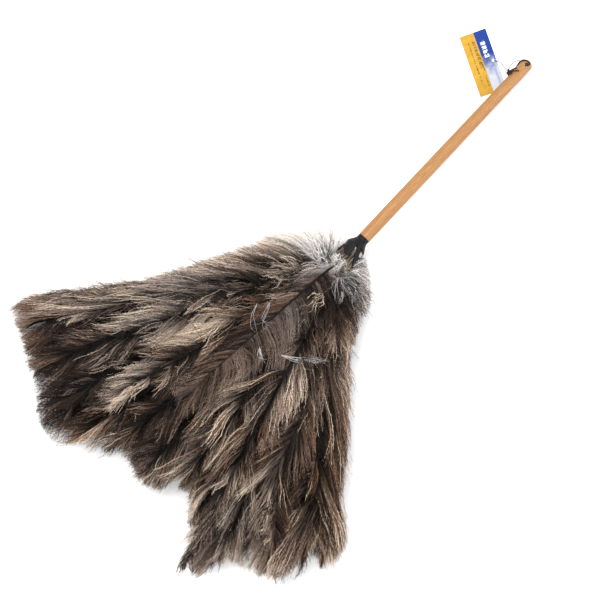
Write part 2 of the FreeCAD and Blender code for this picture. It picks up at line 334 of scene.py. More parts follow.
def leather_finish(name, colour, worn, grain, gloss):
    """Thin dyed leather: pebbled grain, creases and paler rubbed places."""
    m = Finish(name, coat_weight=0.02, coat_roughness=0.35, specular_ior_level=0.22)
    at = m.place()
    pebbles = m.cells(at, grain, "SMOOTH_F1")
    creases = m.noise(m.place((1.0, 2.4, 1.6)), grain * 0.25, 5.0, 0.6, 0.8)
    rubbed = m.noise(at, grain * 0.12, 4.0, 0.6).between(0.5, 0.75) * pebbles.between(0.55, 0.1)
    m.set(base_color=m.mix(rubbed * 0.7 + creases.between(0.6, 0.8) * 0.25, colour, worn))
    m.set(roughness=gloss + creases * 0.25 - rubbed * 0.1)
    m.bump(pebbles * -0.6 + creases * 1.2, 0.0003, 0.8)
    return m.material


def wire_finish():
    """Dull drawn steel wire, a little stained."""
    m = Finish("binding_wire", metallic=1.0)
    stain = m.noise(m.place(), 240.0, 4.0, 0.6)
    m.set(base_color=m.mix(stain.between(0.45, 0.7), linear(196, 192, 186), linear(122, 108, 92)))
    m.set(roughness=0.28 + stain * 0.3)
    m.bump(m.noise(m.place((60, 300, 300)), 8.0), 0.00004, 0.5)
    return m.material


def thread_finish():
    """Grey twisted nylon."""
    m = Finish("tag_thread")
    twist = m.cells(m.place(), 1900.0, "SMOOTH_F1")
    shade = m.noise(m.place(), 300.0, 3.0)
    m.set(base_color=m.mix(shade.between(0.35, 0.65), linear(62, 62, 66), linear(104, 104, 108)))
    m.set(roughness=0.35 + twist * 0.25)
    m.bump(twist, 0.00008, 0.6)
    return m.material


def card_finish(hole, turn):
    """Printed gloss card: a yellow half, and a half that fades from blue to white, with plain marks."""
    m = Finish("printed_card", specular_ior_level=0.12)
    at = m.node("ShaderNodeTexCoord").outputs["Object"]
    shifted = m.vector("SUBTRACT", at, tuple(hole))
    turned = m.node("ShaderNodeMapping", None, {"Vector": shifted, "Rotation": (0.0, 0.0, -turn)}).outputs[0]
    scaled = m.vector("SCALE", turned, scale=1000.0)
    x, y, z = m.parts(scaled)
    soft = m.noise(scaled, 0.16, 3.0, 0.6, 0.5)
    speck = m.noise(scaled, 2.2, 3.0, 0.6)
    yellow = m.mix(soft.between(0.3, 0.7), linear(172, 130, 36), linear(184, 144, 50))
    fade = (x * 0.019 + 0.50 + (soft - 0.5) * 0.55 - (1.0 - y.between(-3.0, 8.0)) * 0.05).between(0.12, 0.66)
    blue = m.mix(speck.between(0.4, 0.66) * 0.35, linear(6, 44, 120), linear(22, 66, 146))
    sky = m.mix(fade, linear(182, 187, 198), blue)
    streak = 1.0 - (y + 0.1 - soft * 2.0).size().between(0.5, 1.9)
    streak = streak * (1.0 - (x + 17.0).size().between(7.0, 13.0))
    sky = m.mix(streak * 0.6, sky, linear(126, 136, 176))
    # four plain round-cornered pebbles in a row, in place of a heading
    step = (x / 4.6).part() - 0.5
    pebble = m.cells(m.joined(x / 2.3, y / 2.6, 0.0), 1.0, "SMOOTH_F1")
    inside = (1.0 - (y - 4.7).size().between(2.0, 2.9)) * (1.0 - (x - 14.4).size().between(9.0, 9.6))
    marks = inside * (1.0 - step.size().between(0.30, 0.42)) * (1.0 - pebble.between(0.5, 0.62))
    sky = m.mix(marks, sky, linear(216, 217, 220))
    # rows of short dashes, in place of small print
    ink = None
    for row_y, start, end, height, pitch in (
            (13.9, -4.0, 26.0, 1.5, 2.4), (12.2, -8.0, 10.0, 0.6, 1.7),
            (19.2, -22.0, 26.0, 0.6, 1.5), (13.2, -26.0, -14.0, 0.6, 1.5)):
        dash = m.noise(m.joined(x / pitch, row_y, 0.0), 3.1, 2.0, 0.7).between(0.49, 0.53)
        line = dash * (1.0 - (y - row_y).size().between(height, height + 0.18))
        middle, half = (start + end) / 2, (end - start) / 2
        line = line * (1.0 - (x - middle).size().between(half - 0.3, half))
        ink = line if ink is None else (ink + line).clamped()
    yellow = m.mix(ink * 0.9, yellow, linear(52, 36, 14))
    face = m.mix(y.between(10.55, 10.75), sky, yellow)
    m.set(base_color=m.mix(z.between(0.39, 0.43), linear(238, 234, 224), face))
    m.set(roughness=0.28 + speck * 0.12)
    m.bump(m.noise(scaled, 5.0, 2.0), 0.00002, 0.4)
    return m.material


def feather_finish(tints):
    """Ostrich barbs: darkest at their roots, where painted shade stands in for the shade of the locks above,
    coloured by each barb's tone and warmth, with the tips of mid-toned barbs made cream partly as their own
    colour and partly as a painted highlight, and white where they are down, with painted shade at the down's
    roots. The shafts are near black, and their bare quills are streaked."""
    m = Finish("ostrich_feather", specular_ior_level=0.12)
    grey, warm, dark, cream, white = tints
    along = m.attribute("along")
    tone = m.attribute("tone")
    warmth = m.attribute("warmth")
    down = m.attribute("down")
    shaft = m.attribute("shaft")
    mottle = m.noise(m.place(), 900.0, 3.0, 0.6)
    body = m.mix(warmth, grey, warm)
    body = m.mix((1.0 - tone.between(0.02, 0.5)) * 0.92, body, dark)
    body = m.mix(tone.between(0.55, 0.95) * (0.25 + along * 0.75), body, cream)
    # tips of mid-toned barbs turn cream, partly their own frosted colour and partly a painted highlight where
    # light catches the tips
    body = m.mix(along.between(0.72, 1.0) * tone.between(0.35, 0.7) * 0.6, body, cream)
    # painted shade: each barb darkens towards its root, standing in for the shade of the locks that lie over
    # it; the roots of shafts that show, and most of the length of the palest barbs, are spared some of it
    open_root = m.attribute("open_root")
    painted_depth = (0.03 + along.between(0.12, 0.95) * 0.97).at_least(open_root * (0.45 + along * 0.5))
    painted_depth = painted_depth.at_least(tone.between(0.78, 1.0) * along.between(0.1, 0.55) * 0.7)
    shade = painted_depth * (0.50 + mottle.between(0.34, 0.66) * 0.85)
    lit = m.mix(1.0, body, m.joined(shade, shade, shade), "MULTIPLY")
    # painted shade on the white down: darker towards its roots, varied by the strand's mottle
    down_shade = 0.45 + along.between(0.0, 0.5) * 0.35 + mottle.between(0.34, 0.66) * 0.25
    fluff = m.mix(down, lit, m.mix(1.0, white, m.joined(down_shade, down_shade, down_shade), "MULTIPLY"))
    rings = m.noise(m.place((40, 300, 300)), 3.0).between(0.4, 0.6)
    quill = m.mix(rings, linear(9, 6, 5), linear(26, 18, 14))
    streaks = m.noise(m.place((30, 500, 500)), 2.0, 3.0).between(0.35, 0.65)
    quill = m.mix(down, quill, m.mix(streaks, linear(62, 50, 43), linear(120, 107, 96)))
    m.set(base_color=m.mix(shaft, fluff, quill))
    m.set(roughness=0.55 - shaft * 0.15 + mottle * 0.15)
    m.bump(mottle, 0.0001, 0.5)
    return m.material


# ---------------------------------------------------------------- settings


def colour_setting(name, description, red, green, blue):
    return bpy.props.FloatVectorProperty(name=name, description=description, subtype="COLOR",
                                         default=linear(red, green, blue), min=0.0, max=1.0)


def length_setting(name, description, millimetres):
    return bpy.props.FloatProperty(name=name, description=description, default=millimetres * MM, min=0.0,
                                   unit="LENGTH", subtype="DISTANCE", precision=5)


class DusterHandleSettings(bpy.types.PropertyGroup):
    light: colour_setting("Light grain", "Colour of the wood between its grain lines", 166, 123, 75)
    mid: colour_setting("Middle grain", "The wood's overall colour", 155, 112, 66)
    dark: colour_setting("Dark grain", "Colour of the grain lines", 136, 95, 53)


class DusterCuffSettings(bpy.types.PropertyGroup):
    thickness: length_setting("Leather thickness", "Thickness of the cuff's leather", 1.1)
    colour: colour_setting("Leather", "Colour of the cuff's leather", 4, 4, 6)
    lace_colour: colour_setting("Lace", "Colour of the hanging lace", 44, 27, 26)


class DusterTagSettings(bpy.types.PropertyGroup):
    length: length_setting("Length", "Long side of the card", 68)
    width: length_setting("Width", "Short side of the card", 29.5)
    thread: length_setting("Thread", "Diameter of the tag's thread", 0.8)


class DusterFeatherSettings(bpy.types.PropertyGroup):
    spacing: length_setting("Barb spacing", "Distance along the shaft between two barbs of one side", 0.56)
    barb_width: length_setting("Barb width", "Width of a barb at its root", 0.84)
    barb_length: length_setting("Barb length", "Length of the longest barbs", 66)
    wave: length_setting("Wave", "How far a barb waves from side to side at its tip", 2.4)
    seed: bpy.props.IntProperty(name="Seed", description="Fixes every random choice", default=7)
    grey: colour_setting("Grey", "Cool barbs", 144, 131, 126)
    warm: colour_setting("Brown", "Warm barbs", 138, 101, 74)
    dark: colour_setting("Dark", "Darkest barbs", 22, 14, 10)
    cream: colour_setting("Cream", "Palest barbs", 230, 211, 188)
    down: colour_setting("Down", "Down at the quills", 242, 240, 238)


# ---------------------------------------------------------------- stage


class DUSTER_OT_stage(bpy.types.Operator):
    """Floor, soft lights and the camera above the duster"""

    bl_idname = "duster.stage"
    bl_label = "Stage"

    # the camera looks straight down, turned so that the handle runs up and to the right
    centre = Vector((-32.6, 4.5, 0.0)) * MM
    turn = math.radians(-46.78)
    view_width = 0.640
    focus_height = 0.02      # where the view is that wide
    lens = 190.0
    sensor = 36.0
    floor_half = 4.0

    def execute(self, context):
        scene = context.scene
        scene.view_settings.view_transform = "Standard"
        self.floor(scene)
        self.lights(scene)
        camera = bpy.data.objects.new("camera", bpy.data.cameras.new("camera"))
        scene.collection.objects.link(camera)
        camera.data.lens = self.lens
        camera.data.sensor_width = self.sensor
        height = self.view_width * self.lens / self.sensor + self.focus_height
        camera.location = self.centre + Vector((0, 0, height))
        camera.rotation_euler = Euler((0, 0, self.turn))
        camera.data.clip_end = 30.0
        scene.camera = camera
        return {"FINISHED"}

    def floor(self, scene):
        mesh = bpy.data.meshes.new("floor")
        corners = [(self.floor_half * x, self.floor_half * y, 0)
                   for x, y in ((-1, -1), (1, -1), (1, 1), (-1, 1))]
        mesh.from_pydata(corners, [], [(0, 1, 2, 3)])
        m = Finish("floor_paint")
        speckle = m.noise(m.place(), 3.0, 3.0)
        m.set(base_color=m.mix(speckle, (0.93, 0.93, 0.93), (0.95, 0.95, 0.95)))
        m.set(roughness=0.8 + speckle * 0.1)
        floor = new_piece("floor", mesh, m.material)

    def lights(self, scene):
        world = bpy.data.worlds.new("soft_room")
        world.use_nodes = True
        background = world.node_tree.nodes["Background"].inputs
        background["Color"].default_value = (0.98, 0.985, 1.0, 1.0)
        background["Strength"].default_value = 1.0
        scene.world = world
        # name, direction to the light as (side, up the picture, height), size, power, colour
        for name, (side, up, height), size, power, colour in (
                ("key_light", (-0.4, 0.6, 2.2), 0.9, 52.0, (1.0, 0.98, 0.95)),
                ("fill_light", (1.7, -0.6, 1.5), 1.2, 22.0, (0.97, 0.98, 1.0)),
        ):
            data = bpy.data.lights.new(name, "AREA")
            data.size = size
            data.energy = power
            data.color = colour
            light = bpy.data.objects.new(name, data)
            scene.collection.objects.link(light)
            place = Matrix.Rotation(self.turn, 3, "Z") @ Vector((side, up, height))
            light.location = self.centre + place
            light.rotation_mode = "QUATERNION"
            light.rotation_quaternion = place.to_track_quat("Z", "Y")


# ---------------------------------------------------------------- thread, handle, wire


def knot_centre():
    """The knot lies against the side of the handle, above the tag."""
    turn = math.radians(60.0)
    return on_handle(KNOT_ALONG, KNOT_OUT * math.sin(turn), KNOT_OUT * 0.5)


class DUSTER_OT_thread(bpy.types.Operator):
    """The tag's thread, from the lace through the knot to the hole in the card"""

    bl_idname = "duster.thread"
    bl_label = "Tag thread"

    def execute(self, context):
        knot = knot_centre()
        hole = Vector((296.9, 29.6, 0.0))
        route = [
            on_handle(0.0, 6.4, 3.3),
            on_handle(-1.2, 9.4, 2.0),
            on_handle(-5.2, 12.2, 0.9),
            on_handle(-10.4, 12.6, 1.8),
            on_handle(-15.2, 11.0, 3.6),
            knot + Vector((-1.2, 2.4, 0.4)) * MM,
            Vector((hole.x + 1.6, hole.y - 15.0, 9.4)) * MM,
            Vector((hole.x + 3.1, hole.y - 9.4, 5.4)) * MM,
            Vector((hole.x + 2.4, hole.y - 4.4, 3.2)) * MM,
            Vector((hole.x, hole.y, 0.5)) * MM,
        ]
        curve = bpy.data.curves.new("thread", "CURVE")
        curve.dimensions = "3D"
        curve.bevel_depth = context.scene.duster_tag.thread / 2
        curve.bevel_resolution = 3
        curve.use_fill_caps = True
        spline = curve.splines.new("NURBS")
        spline.points.add(len(route) - 1)
        for point, place in zip(spline.points, route):
            point.co = (*place, 1.0)
        spline.order_u = 3
        spline.use_endpoint_u = True
        spline.resolution_u = 12
        thread = bpy.data.objects.new("thread", curve)
        context.scene.collection.objects.link(thread)
        curve.materials.append(thread_finish())
        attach(thread, BODY)
        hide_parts("tag_thread")
        return {"FINISHED"}


class DUSTER_OT_handle(bpy.types.Operator):
    """Wood on the handle and steel on the windings"""

    bl_idname = "duster.handle"
    bl_label = "Handle and windings"

    def execute(self, context):
        settings = context.scene.duster_handle
        finish_node("handle", wood_finish([tuple(settings.light), tuple(settings.mid), tuple(settings.dark)]))
        wire = wire_finish()
        for row in FEATHER_ROWS:
            finish_node("winding_" + row, wire)
        return {"FINISHED"}


# ---------------------------------------------------------------- cuff


class DUSTER_OT_cuff(bpy.types.Operator):
    """The leather cuff: a snug band, and cut petals that lie over the quills"""

    bl_idname = "duster.cuff"
    bl_label = "Cuff"

    # distance past the top edge, inner radius, in millimetres
    profile = ((0.0, 6.5), (2.0, 6.52), (4.5, 6.62), (7.5, 8.4), (10.5, 10.2), (13.0, 11.6), (20.0, 11.8),
               (33.0, 11.9))
    # the petals' middles in degrees from +Y over the top at their base, half widths, tips' distances, leans
    petals = (
        (34.0, 9.4, 27.5, -0.6), (97.0, 3.7, 32.0, 0.8), (137.0, 4.6, 13.0, 0.0), (176.0, 5.0, 23.0, 1.0),
        (216.0, 6.2, 28.0, 1.0), (260.0, 6.0, 26.5, -1.0), (305.0, 6.2, 28.5, 0.0),
    )
    twist_start = 9.0
    twist = 2.5          # degrees for each millimetre past that
    petal_base = 8.5
    petal_radius = 11.6
    columns = 288
    rows = 30

    def execute(self, context):
        settings = context.scene.duster_cuff
        rng = np.random.default_rng(31)
        grain = rng.uniform(0, 2 * math.pi, 12)
        vertices = [tuple(self.point(column, row, grain))
                    for column in range(self.columns) for row in range(self.rows)]
        faces = []
        for column in range(self.columns):
            after = (column + 1) % self.columns
            for row in range(self.rows - 1):
                a, b = column * self.rows + row, after * self.rows + row
                faces.append((a, b, b + 1, a + 1))
        mesh = bpy.data.meshes.new("cuff_leather")
        mesh.from_pydata(vertices, [], faces)
        mesh.update()
        leather = leather_finish("black_leather", tuple(settings.colour), linear(40, 40, 44), 1500.0, 0.48)
        cuff = new_piece("cuff_leather", mesh, leather)
        wall = cuff.modifiers.new("thickness", "SOLIDIFY")
        wall.thickness = settings.thickness
        wall.offset = 1.0
        edge = cuff.modifiers.new("edge", "BEVEL")
        edge.width = 0.22 * MM
        edge.segments = 2
        edge.limit_method = "ANGLE"
        edge.angle_limit = math.radians(50.0)
        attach(cuff, BODY)
        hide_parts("cuff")
        return {"FINISHED"}

    def reach(self, azimuth):
        """How far the leather runs at an azimuth, and how near that is to a petal's middle, where it is 1."""
        best, middle = self.petal_base, 0.0
        for centre, half, tip, lean in self.petals:
            offset = (azimuth - centre + 180.0) % 360.0 - 180.0
            across = math.radians(offset) * self.petal_radius
            share = (across - lean) / (half - lean) if across > lean else (lean - across) / (half + lean)
            if share < 1.0:
                reach = self.petal_base + (tip - self.petal_base) * (1 - share ** 3.2)
                if reach > best:
                    best, middle = reach, 1 - share
        return best, middle

    def point(self, column, row, grain):
        azimuth = 360.0 * column / self.columns
        reach, middle = self.reach(azimuth)
        share = row / (self.rows - 1)
        distance = reach * share
        if reach > self.petal_base:
            distance += share ** 6 * 0.9 * math.sin(azimuth * 0.55) * math.sin(azimuth * 0.21 + 1.0)
        turn = math.radians(azimuth + self.twist * max(0.0, distance - self.twist_start))
        radius = np.interp(distance, [d for d, _ in self.profile], [r for _, r in self.profile])
        out = max(0.0, distance - 11.0) / 20.0
        radius += 0.6 * out * (1 - middle) ** 2 - 0.2 * out * middle + 2.2 * max(0.0, out - 0.55)
        folds = sum(math.sin(turn * k + grain[k] + distance * 0.11 * (k % 3)) / k for k in (5, 7, 9, 11))
        radius += 0.16 * folds * min(1.0, distance / 6.0) + 0.12
        radius += 0.18 * math.exp(-((distance - 4.6) / 1.1) ** 2) * math.sin(turn * 10 + grain[3])
        return on_handle(-CUFF_TOP - distance, radius * math.cos(turn), radius * math.sin(turn))


# ---------------------------------------------------------------- lace


class DUSTER_OT_lace(bpy.types.Operator):
    """Leather on the lace, and its tied knot with two cut tails"""

    bl_idname = "duster.lace"
    bl_label = "Hanging lace"

    strand = 0.88 * MM
    tails = ((8.8, 43.0, 0.9), (7.6, 14.0, 1.0))   # reach, turn from the top over +Y, thickness share

    def execute(self, context):
        colour = tuple(context.scene.duster_cuff.lace_colour)
        leather = leather_finish("brown_leather", colour, linear(104, 78, 66), 2600.0, 0.42)
        finish_node("lace", leather)
        knot = new_piece("lace_knot_tied", self.knot(), leather)
        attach(knot, BODY)
        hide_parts("lace_knot")
        return {"FINISHED"}

    def knot(self):
        centre = np.array(knot_centre())
        turns = np.linspace(0, 2 * math.pi, 97)
        lobes = np.stack([np.sin(turns) + 2 * np.sin(2 * turns), np.cos(turns) - 2 * np.cos(2 * turns),
                          -1.9 * np.sin(3 * turns)], axis=1) * (0.84 * MM)
        tilt = np.array(Euler((0.5, 0.35, 0.8)).to_matrix())
        loop = lobes @ tilt.T + centre
        pulse = self.strand * (1 + 0.07 * np.sin(turns * 9 + 1.0))
        shells = [tube(loop, pulse, 14)]
        clear = FREE_END_RADIUS + 1.6
        for reach, azimuth, share in self.tails:
            turn = math.radians(azimuth)
            tip = np.array(on_handle(KNOT_ALONG + reach, clear * math.sin(turn), clear * math.cos(turn)))
            middle = (centre + tip) / 2 + np.array((0.0, 0.0007, 0.0009))
            line, along = smooth_line([centre, middle, tip], 24)
            flat = self.strand * share * (1 - 0.25 * (along / along[-1]) ** 2)
            shells.append(tube(line, flat, 12))
        return joined_mesh("lace_knot_tied", shells)


# ---------------------------------------------------------------- tag


class DUSTER_OT_tag(bpy.types.Operator):
    """The card tag, with rounded corners and a punched hole"""

    bl_idname = "duster.tag"
    bl_label = "Tag"

    hole = Vector((296.9, 29.6, 0.05)) * MM
    turn = math.radians(62.7)
    hole_along = 35.0 * MM
    hole_inset = 3.4 * MM
    hole_radius = 1.5 * MM
    corner = 0.7 * MM
    thickness = 0.42 * MM

    def execute(self, context):
        settings = context.scene.duster_tag
        curve = bpy.data.curves.new("tag_outline", "CURVE")
        curve.dimensions = "2D"
        curve.fill_mode = "BOTH"
        curve.extrude = self.thickness / 2 - 0.05 * MM
        curve.bevel_depth = 0.05 * MM
        curve.bevel_resolution = 1
        self.loop(curve, self.outline(settings.length, settings.width))
        turns = np.linspace(0, 2 * math.pi, 40, endpoint=False)
        self.loop(curve, [(self.hole_radius * math.cos(t), self.hole_radius * math.sin(t)) for t in turns])
        holder = bpy.data.objects.new("tag_outline", curve)
        context.scene.collection.objects.link(holder)
        context.view_layer.update()
        mesh = bpy.data.meshes.new_from_object(holder.evaluated_get(context.evaluated_depsgraph_get()))
        bpy.data.objects.remove(holder)
        mesh.transform(Matrix.Translation(self.hole + Vector((0, 0, self.thickness / 2)))
                       @ Matrix.Rotation(self.turn, 4, "Z"))
        on_floor = Vector((self.hole.x, self.hole.y, 0.0))
        tag = new_piece("tag_card_printed", mesh, card_finish(on_floor, self.turn))
        mesh.shade_flat()
        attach(tag, TAG_BODY)
        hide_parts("tag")
        return {"FINISHED"}

    def outline(self, length, width):
        left, right = self.hole_along - length, self.hole_along
        low, high = -self.hole_inset, width - self.hole_inset
        points = []
        for x, y, start in ((right, high, 0), (left, high, 90), (left, low, 180), (right, low, 270)):
            inner = (x - math.copysign(self.corner, x - (left + right) / 2),
                     y - math.copysign(self.corner, y - (low + high) / 2))
            for step in range(5):
                turn = math.radians(start + 22.5 * step)
                points.append((inner[0] + self.corner * math.cos(turn),
                               inner[1] + self.corner * math.sin(turn)))
        return points

    @staticmethod
    def loop(curve, points):
        spline = curve.splines.new("POLY")
        spline.points.add(len(points) - 1)
        for point, (x, y) in zip(spline.points, points):
            point.co = (x, y, 0.0, 1.0)
        spline.use_cyclic_u = True


# ---------------------------------------------------------------- feathers

# Distance from the mouth along a shaft against: a barb's angle from the shaft, in degrees, and its length
# as a share of the longest.
ANGLE = ((0, 140), (12, 112), (28, 88), (55, 70), (100, 60), (170, 52), (320, 46))
LENGTH = ((0, 0.46), (15, 0.56), (40, 0.66), (80, 0.86), (130, 1.0), (320, 1.0))
# The same against the distance back from the feather's tip.
TIP_ANGLE = ((0, 8), (8, 22), (25, 38), (50, 52), (90, 180))
TIP_LENGTH = ((0, 0.50), (10, 0.56), (30, 0.72), (60, 0.92), (90, 1.0))
# The outline of the head in plan, in millimetres, anticlockwise from beside the cuff.
OUTLINE = np.array((
    (56, 10), (54, 26), (35, 62), (-30, 86), (-92, 118), (-135, 142), (-190, 183), (-224, 216), (-252, 231),
    (-267, 187), (-291, 152), (-320, 118), (-328, 88), (-300, 70), (-306, 54), (-280, 37), (-292, -8),
    (-284, -28), (-263, -29), (-268, -52), (-294, -82), (-327, -98), (-337, -119), (-289, -125), (-276, -168),
    (-259, -186), (-222, -186), (-214, -216), (-188, -213), (-162, -174), (-110, -139), (-72, -105),
    (-38, -73), (14, -55), (38, -34), (50, -14),
)) * MM
TOP = "outer_feather_05"
LOW = "outer_feather_07"
# Tufts that lie on top: their feather, where their roots start and end along X, their side, their angle from
# the shaft and how much they fan out, in degrees, their length, and what they add to tone and warmth.
LAID_TUFTS = (
    ("outer_feather_04", -82, -100, 1, 47, 14, 62, 0.46, 0.25),
    ("outer_feather_04", -112, -134, 1, 42, 16, 60, 0.50, 0.25),
    ("outer_feather_04", -172, -194, 1, 24, 26, 58, 0.30, -0.10),
    ("outer_feather_06", -66, -96, -1, 42, 24, 68, 0.20, -0.10),
    ("outer_feather_06", -120, -140, -1, 36, 22, 60, 0.02, 0.0),
    ("outer_feather_03", -60, -90, 1, 30, 10, 66, 0.10, -0.35),
    ("outer_feather_03", -130, -160, 1, 22, 12, 64, 0.08, -0.40),
)
# The feathers whose shafts show from above: where the shaft starts and ends in plan, how far it rises above
# its CAD line, its barbs' angles on its two sides, how loose they are, how much of their roots is lit, that
# is spared the painted root shade, how much finer they are and how much narrower, how uneven in tone, and
# what is added to their warmth.
SHOWN = {
    TOP: {"line": ((-2, 6.6), (-158, 21)), "rise": 6.0, "angles": (34.0, 86.0), "loose": 0.3, "lit": 0.8,
          "finer": 1.7, "width": 0.62, "uneven": 0.4, "warmth": -0.15},
    LOW: {"line": ((-172, -96), (-229, -144)), "rise": 4.0, "angles": (32.0, 26.0), "loose": 0.7, "lit": 0.3},
}
# What no other barb may cover: whose it is, the ends of its line in plan, the height above which that holds,
# and how far to each side.
CLEAR = (
    (TOP, (4, 6), (-50, 11), 58, 7.5), (TOP, (-50, 11), (-158, 21), 84, 7.5),
    (LOW, (-172, -96), (-229, -144), 70, 6.0), ("cuff", (62, 0), (22, 0), 36, 12.5),
)
# Loose bits of white down that lie on the top feather: how many strands, and their points in plan.
LOOSE_DOWN = (
    (8, ((-88, -21), (-80, -35), (-70, -47), (-61, -60))), (5, ((-80, -35), (-83, -44), (-80, -52))),
    (4, ((-74, -43), (-70, -50), (-71, -58))), (5, ((-99, 1), (-103, -4), (-106, -10))),
    (5, ((-98, 0), (-102, -5), (-105, -11))), (3, ((-56, 26), (-66, 24), (-74, 17), (-72, 9))),
    (2, ((-66, 34), (-78, 30), (-86, 22), (-88, 14))), (4, ((4, -22), (-2, -27), (-9, -30))),
    (5, ((14, -12), (8, -20), (6, -30))), (4, ((12, -8), (2, -14), (-4, -24))),
)
# Tints of places on the head: middle, half widths, and what they add to tone and warmth. The darkening
# ones are partly the feathers' own darker colour and partly painted shade, where lower-lying feathers and the
# gaps between the lobes lie in shadow.
TINT_AND_SHADE_PATCHES = (
    (-120, 115, 110, 42, 0.10, -0.55), (14, 48, 40, 30, 0.45, -0.3), (-146, 66, 40, 16, 0.8, 0.35),
    (-95, 2, 40, 30, -0.10, 0.1), (-232, 78, 24, 16, 0.9, -0.2), (-280, 112, 56, 50, -0.95, 0.1),
    (-298, 72, 26, 18, 0.60, 0.5), (-262, 190, 34, 30, 0.10, 0.35), (-250, 30, 70, 26, -0.30, 0.1),
    (-8, -36, 24, 16, -0.7, 0.1), (26, -30, 26, 18, -0.35, 0.1), (-193, -66, 26, 16, -0.38, 0.1),
    (-85, 34, 50, 13, -0.2, 0.25), (-139, -60, 24, 18, 0.30, -0.2), (-240, -102, 34, 30, -0.02, -0.5),
    (-150, -150, 70, 40, -0.16, 0.5), (-70, -22, 60, 16, 0.05, -0.15),
)
BEND = 0.72                      # how strongly a barb turns towards the feather's tip
SAG = 0.42                       # how far its end hangs, as a share of its length
OVERSHOOT = 3.0 * MM             # how far past the outline a barb usually runs
TALLEST = 0.1085                 # how high any of it may stand
FURTHEST = np.array((0.345, 0.230))
HEAD_HALF = (0.21, 0.050)        # of the flattened bundle: its width and its height, about this height
MIDDLE_HEIGHT = 0.047
SHAFT_SIDES = 7
BARB_STEPS = 9
BARBULES = 16


def table(pairs, at):
    return np.interp(at, [p[0] for p in pairs], [p[1] for p in pairs])


def past_outline(points):
    """How far each point is outside the head's outline in plan. It is negative inside."""
    flat = points[:, None, :2]
    start, end = OUTLINE[None], np.roll(OUTLINE, -1, axis=0)[None]
    run = end - start
    share = np.clip(np.sum((flat - start) * run, axis=2) / np.sum(run * run, axis=2), 0, 1)
    gap = np.linalg.norm(flat - start - share[..., None] * run, axis=2).min(axis=1)
    x, y = flat[..., 0], flat[..., 1]
    crosses = ((start[..., 1] > y) != (end[..., 1] > y))
    rise = np.where(run[..., 1] == 0, 1, run[..., 1])
    beyond = x < start[..., 0] + run[..., 0] * (y - start[..., 1]) / rise
    inside = (crosses & beyond).sum(axis=1) % 2 == 1
    return np.where(inside, -gap, gap)


def unit(vectors):
    return vectors / np.linalg.norm(vectors, axis=-1, keepdims=True)


def patch(x, y, middle, half):
    """1 at a place in plan, in millimetres, and smoothly nothing away from it."""
    return np.exp(-((x - middle[0]) / half[0]) ** 2 - ((y - middle[1]) / half[1]) ** 2)


def shaft_line(node, count=150):
    """A feather's shaft from the middles of its CAD solid's cross sections, and how far along each point is.
    The sections are square to X, and each has a vertex at every corner of its outline."""
    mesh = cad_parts[node].data
    vertices = np.zeros(len(mesh.vertices) * 3)
    mesh.vertices.foreach_get("co", vertices)
    vertices = vertices.reshape(-1, 3)
    _, belongs, counts = np.unique(np.round(vertices[:, 0], 4), return_inverse=True, return_counts=True)
    middles = []
    for index in np.flatnonzero(counts >= 30)[::-1]:
        ring = vertices[belongs == index]
        middles.append((ring.min(axis=0) + ring.max(axis=0)) / 2)
    return smooth_line(middles, count)


def barb_pattern(rng):
    """One barb in its own coordinates: X is the share along it, Y and Z are in widths. A tapering ribbon,
    with short spikes along both sides for its barbules."""
    vertices, faces = [], []
    for step in range(BARB_STEPS + 1):
        share = step / BARB_STEPS
        half = 0.5 * (1.0 - 0.82 * share ** 1.6)
        vertices += [(share, -half, 0.0), (share, half, 0.0)]
    for step in range(BARB_STEPS):
        a = 2 * step
        faces.append((a, a + 2, a + 3, a + 1))
    for number in range(BARBULES):
        side = 1 if number % 2 else -1
        share = 0.04 + 0.92 * (number + rng.uniform(0.1, 0.9)) / BARBULES
        length = rng.uniform(1.2, 2.6) * (1.0 - 0.3 * share)
        slip = rng.uniform(0.02, 0.05)
        a = len(vertices)
        vertices += [(share, side * 0.2, 0.0), (min(1.0, share + 0.012), side * 0.2, 0.0),
                     (min(1.02, share + slip), side * length, rng.uniform(-1.0, 1.0))]
        faces.append((a, a + 1, a + 2) if side < 0 else (a, a + 2, a + 1))
    mesh = bpy.data.meshes.new("barb_pattern")
    mesh.from_pydata(vertices, [], faces)
    return mesh


